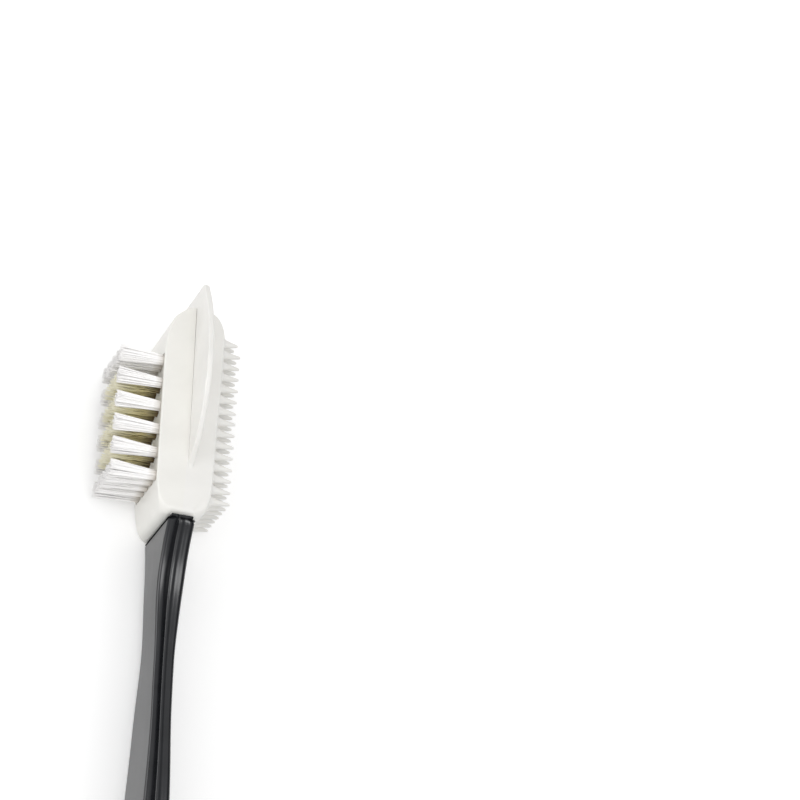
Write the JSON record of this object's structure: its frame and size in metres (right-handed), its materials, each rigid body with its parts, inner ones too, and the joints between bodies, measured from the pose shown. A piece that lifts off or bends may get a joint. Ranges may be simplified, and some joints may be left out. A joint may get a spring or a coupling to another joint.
{
  "type": "suede brush",
  "caption": "Suede and nubuck shoe brush with a waisted handle, a face of nylon and brass tufts, a face of soft nubs and a thin curved edge blade.",
  "frame": {"origin": "centre of the part's box at its base: the level of the flat far side of the head", "axes": "+X towards the nubs, -X towards the tufts, +Y along the brush towards the nose, +Z towards the blade's edge"},
  "size_m": [0.0318, 0.165, 0.0348],
  "materials": {
    "handle": "satin black moulded plastic",
    "block": "warm white moulded plastic",
    "pad": "soft white, slightly translucent",
    "blade": "soft white, smooth",
    "nylon": "white nylon filament",
    "brass": "crimped brass wire",
    "anchor": "flat steel wire"
  },
  "bodies": {
    "root": {"handle": "handle", "bristle_block": "block", "nub_pad": "pad", "edge_blade": "blade", "nylon_tufts_nose_end": "nylon", "nylon_tufts_handle_end": "nylon", "nylon_tufts_near_row": "nylon", "nylon_tufts_far_row": "nylon", "brass_tufts_1": "brass", "brass_tufts_2": "brass", "brass_tufts_3": "brass", "brass_tufts_4": "brass", "anchors_nose_end": "anchor", "anchors_handle_end": "anchor", "anchors_near_row": "anchor", "anchors_far_row": "anchor", "anchors_brass_1": "anchor", "anchors_brass_2": "anchor", "anchors_brass_3": "anchor", "anchors_brass_4": "anchor"}
  },
  "joints": []
}
